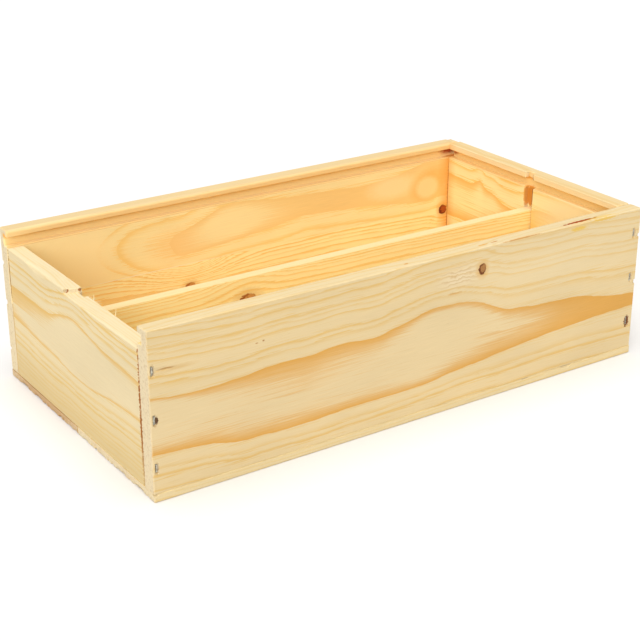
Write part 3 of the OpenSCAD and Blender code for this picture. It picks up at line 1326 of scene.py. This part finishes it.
# Planed pine that has dulled outside and has painted bounce light on its inner face: a wide pale ring runs
# the length of the face, with a knot above it
FRONT_PINE = PineFinish(
    name="planed_pine_front", grain=Grain.LENGTHWISE, face=-98.5, seed=1.0, ring=2.9, fresh_and_bounce=(5.8, 12.0),
    early="#dcc597", line="#d8b062", lines=(0.4, 0.94),
    fade_upper=((-180, 0.3), (-160, 0.45), (-140, 0.9), (-120, 1.6), (-100, 2.4), (-60, 2.4), (-30, 1.5),
                (0, 1.0), (40, 0.8), (80, 0.8), (105, 1.2), (125, 3.0), (180, 5.0)),
    fade_lower=((-180, 0.9), (-150, 1.1), (-130, 1.5), (-90, 1.8), (-40, 1.4), (-10, 1.1), (20, 1.5),
                (55, 1.7), (80, 1.2), (100, 1.3), (125, 3.0), (180, 5.0)),
    upper=((-180, 63.6), (-165, 61.9), (-140, 60.3), (-120, 61.2), (-108, 63), (-95, 63.7), (-80, 63),
           (-62, 64), (-50, 64), (-40, 63), (-28, 63), (-20, 65), (-10, 67), (0, 69.5), (10, 71), (20, 70.8),
           (35, 69.5), (48, 66), (58, 62), (68, 58), (80, 56), (95, 54), (115, 53.5), (130, 52.5), (145, 49),
           (160, 46), (180, 43.5)),
    lower=((-180, 28.7), (-165, 27.7), (-150, 26.8), (-138, 25.0), (-127, 22), (-110, 21.2), (-95, 20.3),
           (-80, 20.3), (-65, 21), (-50, 21.8), (-30, 22), (-10, 21.7), (5, 22), (15, 22.7), (30, 25),
           (50, 27), (65, 28.5), (85, 30.5), (100, 31.7), (120, 33), (140, 34), (160, 34.3), (180, 34.5)),
    knots=(Knot(47.3, 88.5, 2.9, 3.6, reach=2.6, push=0.5, heart="#a87642", rim="#66300f"),),
    curls=(Curl(30.0, 87.5, 18.0, 8.5),),
    stains_and_painted_light=(
        # Painted shade in the gap of the joint with the left end
        StainAndPaintedLight((-175, 40, 11.4), (6, 49, 1.5), "#9a5608", 0.95, 0.3, 1.2),
        # Painted shade along the dent beside the upper left staple
        StainAndPaintedLight((-163, 77.8, 0), (15, 1.8, 2), "#cfa96a", 0.55, 0.9, 0.2),
        StainAndPaintedLight((-169.5, 78.6, 0), (6.5, 0.6, 2), "#a97c40", 0.8, 0.6, 0.2),
        # Paler wood at the right, and painted light along the top edge
        StainAndPaintedLight((115, 84, 0), (110, 28, 4), "#e6d4ac", 0.3, 0.9, 0.1),
        StainAndPaintedLight((0, 102.5, 6), (WHOLE, 1.1, 20), "#e9d8ae", 0.3, 0.5, 0.3),
        # A brown sliver in the top edge, and resin round it
        StainAndPaintedLight((128.5, 102.5, 2.6), (14, 1.5, 1.3), "#a34a00", 1.0, 0.25),
        StainAndPaintedLight((145, 102.4, 1.6), (14, 1.2, 1.6), "#e0b84e", 0.6),
        StainAndPaintedLight((125.5, 99, 0), (8, 1.5, 1.5), "#e0b63a", 0.75),
        StainAndPaintedLight((147, 101.3, 0), (13, 1.0, 1.5), "#deb23c", 0.75),
        # A scuff below the curl
        StainAndPaintedLight((26.5, 77.2, 0), (5.5, 0.6, 2), "#c99450", 0.6, 0.5),
        StainAndPaintedLight((28.5, 78.0, 0), (3.6, 0.6, 2), "#e6d2a0", 0.7, 0.5),
        # Painted shade in the holes beside two staples, and two specks
        StainAndPaintedLight((-176.4, 49.6, 0), (1.2, 2.3, 3), "#4a2410", 0.95, 0.3),
        StainAndPaintedLight((175.0, 24.0, 0), (2.2, 4.2, 3), "#6b2f12", 0.95, 0.3),
        StainAndPaintedLight((-113, 79.2, 0), (1.0, 0.45, 1), "#b07434", 0.7, 0.4),
        StainAndPaintedLight((-108.5, 79.8, 0), (0.8, 0.5, 1), "#9a6028", 0.8, 0.4),
        # Torn spots along the top edge
        StainAndPaintedLight((50, 102.5, 3.6), (4.0, 0.8, 0.7), "#d9993a", 0.85, 0.4),
        StainAndPaintedLight((59, 102.5, 3.9), (3.0, 0.8, 0.6), "#c27a28", 0.85, 0.4),
        StainAndPaintedLight((-8, 102.5, 3.6), (1.6, 0.8, 0.8), "#cf8a35", 0.85, 0.4),
        StainAndPaintedLight((78, 102.2, 0), (16, 0.45, 0.6), "#b8741f", 0.7, 0.3),
    ),
)

# What the two back boards share: a knot on their seam, and their shade where they meet the right end
BACK_KNOT = Knot(165.2, 51.8, 3.5, 3.7, heart="#b0561c", rim="#78300e")
BACK_SHADE = StainAndPaintedLight((171, 60, 0), (11, WHOLE, 5), "#e9a544", 0.85, 1.0, 0.1)
BACK_UPPER_FADE = ((-180, 0.4), (-68, 0.9), (-40, 0.6), (-10, 0.6), (20, 1.0), (50, 2.4), (180, 2.4))

# Planed pine that has stayed fresh inside, with painted bounce light on it: warm, with faint wide flames of
# latewood
BACK_UPPER_PINE = PineFinish(
    name="planed_pine_back_upper", grain=Grain.LENGTHWISE, face=87.5, seed=2.0, ring=2.6, heart=0.5,
    fresh_and_bounce=(-1.0, 5.2), line="#d9a84c", lines=(0.2, 0.6),
    fade_upper=BACK_UPPER_FADE, fade_lower=BACK_UPPER_FADE,
    upper=((-180, 30), (-140, 44), (-104, 57), (-85, 63.5), (-72, 68.5), (-67, 71.5), (-64, 75.5), (-55, 79),
           (-45, 83), (-35, 87), (-25, 90), (-10, 91), (5, 89), (20, 87), (50, 86), (80, 84.5), (100, 84),
           (120, 86), (150, 92), (180, 96)),
    lower=((-180, 112), (-140, 103), (-104, 91), (-85, 80), (-72, 73.5), (-67, 71), (-65, 66), (-60, 61.5),
           (-50, 61.5), (-40, 62), (-10, 65), (20, 68), (40, 70), (80, 69), (100, 67), (120, 64), (150, 61),
           (180, 59)),
    knots=(BACK_KNOT,),
    stains_and_painted_light=(
        # Paler and warmer places on the inner face; the first is painted light where the left end shades the
        # wall
        StainAndPaintedLight((-150, 74, 0), (42, 60, 3), "#fde5a8", 0.9, 0.35, 0.15),
        StainAndPaintedLight((-62, 70, 0), (24, 15, 3), "#fad08a", 0.6, 1.0, 0.3),
        StainAndPaintedLight((118, 77.5, 0), (25, 9.5, 4), "#fde2a6", 0.9, 0.6, 0.15),
        StainAndPaintedLight((158, 80, 0), (16, 10, 4), "#f4b95e", 0.6, 0.7, 0.15),
        StainAndPaintedLight((149, 72.5, 0), (17, 13, 4), "#f5bb62", 0.5, 0.4, 0.12),
        StainAndPaintedLight((150, 72, 0), (11, 9, 4), "#fcdc9d", 0.85, 0.4, 0.12),
        BACK_SHADE,
        # Ledge, lip, top edge and bottom of the lid groove, with painted light and shade: a paler ledge rear
        # and groove bottom where the lip shades them, a darker ledge arris where light falls on it, painted
        # shade under the lip and painted light along the top edge
        StainAndPaintedLight((0, 92.2, 3.8), (WHOLE, 0.9, 2.0), "#ffe4ae", 1.0, 0.4, 0.1),
        StainAndPaintedLight((0, 92.2, 0.2), (WHOLE, 1.0, 1.8), "#eac380", 0.85, 0.5, 0.05),
        StainAndPaintedLight((0, 100.4, 0), (WHOLE, 2.4, 2.5), "#f3cd8c", 0.9, 0.5, 0.1),
        StainAndPaintedLight((0, 102.5, 6), (WHOLE, 1.0, 20), "#e0c490", 0.6, 0.5, 0.3),
        StainAndPaintedLight((0, 94.4, 4.5), (WHOLE, 3.0, 2.5), "#ffe09e", 0.95, 0.5, 0.2),
        StainAndPaintedLight((0, 98.4, 4.5), (WHOLE, 2.2, 2.5), "#f2a630", 0.95, 0.9, 0.2),
        # Painted shade in the groove's corner
        StainAndPaintedLight((172.5, 96.0, 4.5), (9.5, 3.4, 3.0), "#b04208", 0.95, 0.8, 0.3),
        StainAndPaintedLight((174, 92.2, 2.0), (9, 0.9, 3.2), "#f0a94c", 0.9, 0.6, 0.1),
        # Painted shade in the right joint, a painted highlight on the seam's arris, and painted shade in the
        # left joint over its arris
        StainAndPaintedLight((169.9, 66, 0), (1.0, 26, 3), "#a8662c", 0.55, 0.6, 0.9),
        StainAndPaintedLight((-85, 54.3, 0), (70, 0.5, 3), "#fff0cc", 0.8, 0.5, 0.2),
        StainAndPaintedLight((-180, 73, 0.2), (1.2, 18, 0.8), "#9c6a34", 0.9, 0.4, 0.6),
    ),
)

# Planed pine that has stayed fresh inside, with painted bounce light on it: close rings that part round a
# knot
BACK_LOWER_PINE = PineFinish(
    name="planed_pine_back_lower", grain=Grain.LENGTHWISE, face=87.5, seed=3.0, ring=1.4, fresh_and_bounce=(-1.0, 1.0),
    early="#e3ce9f", line="#d9a54a", lines=(0.42, 0.9), heart=0.55,
    upper=((-180, 41), (-120, 42), (-52, 41), (0, 39), (60, 38), (180, 34)),
    lower=((-180, 8), (0, 10), (180, 6)),
    knots=(Knot(-52.4, 37.1, 4.2, 3.2, reach=8.5, push=-1.8, heart="#d0954f", rim="#a8652c"),
           BACK_KNOT),
    stains_and_painted_light=(
        BACK_SHADE,
        # Painted shade in the right joint and over the arris at the left end
        StainAndPaintedLight((169.9, 44, 0), (1.0, 26, 3), "#a8662c", 0.55, 0.6, 0.9),
        StainAndPaintedLight((-180, 30, 0.2), (1.2, 40, 0.8), "#cba870", 0.85, 0.4, 0.4),
    ),
)

# Planed pine that has dulled outside and has painted bounce light on its inner face: fine lines sweep down
# the end in two bands
LEFT_PINE = PineFinish(
    name="planed_pine_left_end", grain=Grain.CROSSWISE, face=-180.0, seed=4.0, early="#e1cea4",
    late="#dbac4e", ring=2.0, fresh_and_bounce=(10.2, 12.0), lines=(0.5, 0.94), heart=0.9,
    fade_upper=((-90, 0.7), (-20, 0.5), (20, 0.7), (40, 1.1), (60, 1.5), (90, 1.9)),
    fade_lower=((-90, 0.4), (0, 0.3), (50, 0.4), (90, 0.9)),
    upper=((-87, 68.5), (-60, 69.5), (-40, 71.5), (-20, 74.5), (-10, 76), (0, 76), (10, 74), (20, 71),
           (30, 68), (40, 67.5), (50, 68), (80, 68), (88, 68)),
    lower=((-87, 44), (-60, 43), (-40, 41), (-20, 39.5), (0, 39), (10, 40), (30, 41.5), (50, 42.5),
           (70, 44.5), (88, 46)),
    stains_and_painted_light=(
        # Painted shade in the gaps of the joints with the front and back boards
        StainAndPaintedLight((-87.4, 40, 0), (1.5, 51, 2.5), "#9a5608", 0.95, 0.35, 1.0),
        StainAndPaintedLight((87.6, 46, 0), (0.6, 46, 2.5), "#8f6233", 0.9, 0.3),
        # Darker towards the floor
        StainAndPaintedLight((0, 4, 0), (WHOLE, 32, 3), "#d0b67e", 0.7, 0.9, 0.1),
        # Painted light along the top edges behind the step and in front of it
        StainAndPaintedLight((48, 91.6, 5), (60, 1.3, 40), "#e9d9b2", 0.5, 0.4, 0.3),
        StainAndPaintedLight((-48, 88.9, 5), (58, 1.3, 40), "#e9d9b2", 0.5, 0.4, 0.3),
        # Broken fibres at the step
        StainAndPaintedLight((5.2, 90.2, 1.5), (0.8, 1.2, 1.8), "#94502a", 0.9, 0.4),
        StainAndPaintedLight((2.6, 90.2, 9.3), (0.7, 1.1, 1.4), "#a5652f", 0.9, 0.4),
    ),
)

# Planed pine that has stayed fresh inside, with painted bounce light on it: pale, with a few wavy lines, and
# painted shade in its dado
RIGHT_PINE = PineFinish(
    name="planed_pine_right_end", grain=Grain.CROSSWISE, face=169.5, seed=5.0, fresh_and_bounce=(-1.0, 5.2), heart=0.85,
    ring=3.5, line="#d9a84c", lines=(0.55, 0.9), early="#e0cb9f",
    fade_upper=((-90, 0.4), (0, 0.5), (40, 0.6), (52, 0.9), (90, 1.1)),
    fade_lower=((-90, 0.4), (0, 0.6), (60, 1.0), (90, 1.2)),
    upper=((-88, 77), (-50, 78), (-10, 77), (10, 72), (25, 73), (35, 77), (45, 79), (50, 83), (55, 81.5),
           (60, 79.5), (75, 80), (88, 80.5)),
    lower=((-88, 58), (-20, 61), (-5, 62), (10, 58), (30, 52), (55, 49), (88, 48)),
    stains_and_painted_light=(
        # Bottom, ledge and lip of the lid groove, and the top edge, with painted light and shade: a paler
        # groove bottom and ledge rear where the lip shades them, a darker ledge arris where light falls on
        # it, painted shade under the lip and painted light along the top edge
        StainAndPaintedLight((0, 94.4, 4.5), (WHOLE, 3.2, 2.5), "#ffdc96", 0.95, 0.5, 0.2),
        StainAndPaintedLight((0, 98.3, 4.5), (WHOLE, 2.0, 2.5), "#f2ad42", 0.95, 0.9, 0.3),
        StainAndPaintedLight((0, 92.2, 3.8), (WHOLE, 0.9, 2.0), "#ffdf9a", 1.0, 0.4, 0.1),
        StainAndPaintedLight((0, 92.2, 0.2), (WHOLE, 1.0, 1.8), "#f3cf8c", 0.9, 0.5, 0.2),
        StainAndPaintedLight((0, 100.4, 0), (WHOLE, 2.4, 2.5), "#fbe0ae", 0.9, 0.5, 0.1),
        StainAndPaintedLight((0, 102.5, 6), (WHOLE, 1.1, 20), "#e2c894", 0.65, 0.5, 0.3),
        # Paler wood in front, and shade in the rear corner
        StainAndPaintedLight((-52, 80, 0), (50, 22, 3), "#ffe6b0", 0.85, 0.7, 0.1),
        StainAndPaintedLight((91, 50, 0), (11, WHOLE, 5), "#eba847", 0.6, 1.0, 0.1),
        # The dado, darker and browner with painted shade and bounce light, a painted shade line along its
        # front arris, and painted light where it cuts the lip
        StainAndPaintedLight((-1.5, 86, 3.6), (5, 9, 1.3), "#d98c30", 0.95, 0.3, 0.25),
        StainAndPaintedLight((2.4, 86, 2.2), (1.0, 9, 3.2), "#d9963c", 0.9, 0.3, 0.3),
        StainAndPaintedLight((-5.4, 90, 0.2), (0.9, 13.5, 1.6), "#7d4317", 0.95, 0.3, 0.3),
        StainAndPaintedLight((-1.5, 100.6, 3.6), (3.5, 2.6, 1.4), "#f6d8a2", 0.9, 0.4, 0.1),
        # Painted shade under the lip in front of the dado, in the groove's corner and in the rear joint
        StainAndPaintedLight((-14, 97.4, 4.5), (7, 1.2, 3), "#b06a24", 0.85, 0.6),
        StainAndPaintedLight((85.5, 96.5, 3.5), (4, 3, 3.5), "#b5500f", 0.9, 0.7, 0.3),
        StainAndPaintedLight((87.9, 66, 0), (0.9, 26, 3), "#a8662c", 0.55, 0.6, 0.9),
    ),
)

# Planed pine that has stayed fresh, with painted bounce light on it: warm, with close even rings and painted
# light along its top edge
DIVIDER_PINE = PineFinish(
    name="planed_pine_divider", grain=Grain.LENGTHWISE, face=-4.85, seed=6.0, early="#e1ca9c",
    line="#d9a54a", ring=1.25, fresh_and_bounce=(-1.0, 8.0), fresh_and_bounce_top=77.6, lines=(0.38, 0.85),
    upper=((-172, 48), (-100, 48), (0, 49), (172, 46)),
    lower=((-172, 22), (0, 23), (172, 20)),
    knots=(Knot(-62, 60.5, 6.5, 5.0, reach=3.6, push=0.85, heart="#cf934f", rim="#96511f"),),
    # Painted light along the top edge
    stains_and_painted_light=(StainAndPaintedLight((0, 77.2, 3.3), (WHOLE, 0.9, 40), "#efd19c", 0.75, 0.4, 0.2),),
)

# Sawn pine: pale, with the saw's scores across it, and painted bounce light on its upper face
BOTTOM_FRONT_PINE = PineFinish(
    name="sawn_pine_bottom_front", grain=Grain.FLAT, face=0.0, seed=7.0, saw_pitch=1.9, fresh_and_bounce=(4.95, 7.0),
    early="#e0cb9d", lines=(0.2, 0.5),
    upper=((-180, -30), (-60, -34), (60, -28), (180, -40)),
    lower=((-180, -66), (-60, -72), (60, -70), (180, -60)),
    # Painted shade that takes back most of the painted bounce light on the top arris of the front edge
    stains_and_painted_light=(StainAndPaintedLight((0, -98.5, 4.9), (WHOLE, 1.6, 0.9), "#dec99c", 0.6, 0.4, 0.3),),
)

# Sawn pine from another plank: browner, with the same scores and the same painted bounce light
BOTTOM_REAR_PINE = PineFinish(
    name="sawn_pine_bottom_rear", grain=Grain.FLAT, face=0.0, seed=8.0, saw_pitch=1.9, fresh_and_bounce=(4.95, 7.0),
    early="#cba674", late="#b88042",
    upper=((-180, 62), (-60, 66), (60, 60), (180, 70)),
    lower=((-180, 40), (-60, 34), (60, 30), (180, 44)),
    stains_and_painted_light=(StainAndPaintedLight((-180, 48, 2.5), (4, 60, 20), "#b98d58", 0.7, 0.6),),
)

STAPLE_NODES = tuple(
    "staples_" + place
    for place in ("front_left", "front_right", "back_left", "back_right", "bottom_front", "bottom_back",
                  "bottom_left", "bottom_right")
)
FRONT_STAPLES, BACK_STAPLES, BOTTOM_STAPLES = STAPLE_NODES[:2], STAPLE_NODES[2:4], STAPLE_NODES[4:]

# Heights of the back boards' seam and of the front board's seam with the bottom, in mm
BACK_SEAM, BASE_SEAM = 54.0, 5.0

# Dents beside the staples and chips in the arrises
FRONT_DENTS = (
    Dent((-172.5, -98.5, 78.9), (6.5, 1.5, 1.5), 0.6),
    Dent((126, -98.5, 102.5), (14, 1.0, 0.9), 0.5),
    Dent((27.5, -98.5, 77.6), (5.5, 1.0, 0.7), 0.35),
    Dent((180, -98.5, 84.0), (2.2, 3.0, 1.3), 1.0),
    Dent((180, -98.5, 51.5), (2.4, 3.0, 1.6), 1.1),
)
BACK_UPPER_DENTS = (
    Dent((-180, 98.5, 78.9), (2.5, 3.0, 1.6), 0.8),
    Dent((180, 93.0, 102.5), (7.0, 9.0, 4.0), 1.0),
)
BACK_LOWER_DENTS = (
    Dent((-180, 98.5, 52.1), (2.5, 3.0, 1.9), 0.9),
    Dent((-180, 98.5, 19.8), (2.5, 3.0, 1.3), 0.7),
)
LEFT_DENTS = (
    Dent((-178.4, 5.3, 90.3), (1.7, 1.3, 1.3), 1.0),
    Dent((-170.3, 2.5, 90.3), (1.4, 1.2, 1.2), 0.8),
)
RIGHT_DENTS = (Dent((175, -87.5, 102.5), (9.0, 1.4, 1.2), 0.7),)
# The dents of the torn edge are spread by the golden ratio, so that they look like chance
BOTTOM_REAR_DENTS = tuple(
    Dent(middle=(-180, 3 + 93 * (i * 0.618 % 1), 0), half=(1.8, 2.6 + 1.6 * math.sin(3 * i), 2.6),
         depth=0.6 + 0.35 * math.sin(7 * i))
    for i in range(13)
)
BOTTOM_FRONT_DENTS = tuple(
    replace(dent, middle=(-180, -dent.middle[1], 0)) for dent in BOTTOM_REAR_DENTS[1:]
) + (
    Dent((87.5, -98.5, 5.0), (3.5, 1.2, 1.2), 0.5),
    Dent((122, -98.5, 4.6), (5.0, 1.2, 1.5), 0.6),
    Dent((-180, -98.5, 5.0), (3.0, 3.5, 1.5), 0.8),
)
TORN_EDGE = tuple(
    Splinter((-169.8, -6.0 - 2.1 * i, 88.2), (-168.2 + 0.5 * (i % 3), -6.4 - 2.4 * i, 88.9 + 0.5 * (i % 2)))
    for i in range(7)
) + (
    Splinter((-169.8, -13.5, 88.0), (-168.9, -12.2, 92.3), 0.8),
    Splinter((-169.8, -41.0, 88.0), (-168.6, -40.2, 93.4), 0.8),
)


def boards() -> list[Board]:
    """Lists the box's boards.

    Returns:
        The boards, in the order that they are built.
    """
    return [
        LongSide("front_board", "pine_wall", FRONT_PINE, FRONT_STAPLES, dents=FRONT_DENTS,
                 tight=(BASE_SEAM,)),
        LongSide("back_board_upper", "pine_wall", BACK_UPPER_PINE, BACK_STAPLES, dents=BACK_UPPER_DENTS,
                 inner=-1.0, tight=(BACK_SEAM,)),
        Board("back_board_lower", "pine_wall", BACK_LOWER_PINE, BACK_STAPLES, dents=BACK_LOWER_DENTS,
              tight=(BACK_SEAM,)),
        LeftEnd("left_end", "pine_wall", LEFT_PINE, dents=LEFT_DENTS, splinters=TORN_EDGE),
        RightEnd("right_end", "pine_wall", RIGHT_PINE, dents=RIGHT_DENTS),
        Board("bottom_board_front", "pine_bottom", BOTTOM_FRONT_PINE, BOTTOM_STAPLES, wear=0.35, bites=5.0,
              dents=BOTTOM_FRONT_DENTS, tight=(BASE_SEAM,)),
        Board("bottom_board_rear", "pine_bottom", BOTTOM_REAR_PINE, BOTTOM_STAPLES, wear=0.7, bites=5.0,
              dents=BOTTOM_REAR_DENTS),
        Board("divider", "pine_divider", DIVIDER_PINE, body="divider"),
    ]


def main() -> None:
    """Builds the box round its frame."""
    logging.basicConfig(level=logging.INFO, format="%(name)s %(message)s")
    for item in list(bpy.data.objects):
        bpy.data.objects.remove(item)
    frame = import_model()
    Studio().build()
    for board in boards():
        board.build(frame["nodes"])
    wire = WireFinish().material()
    for node in STAPLE_NODES:
        StapleRow(node, wire).dress(frame["nodes"])


if __name__ == "__main__":
    main()
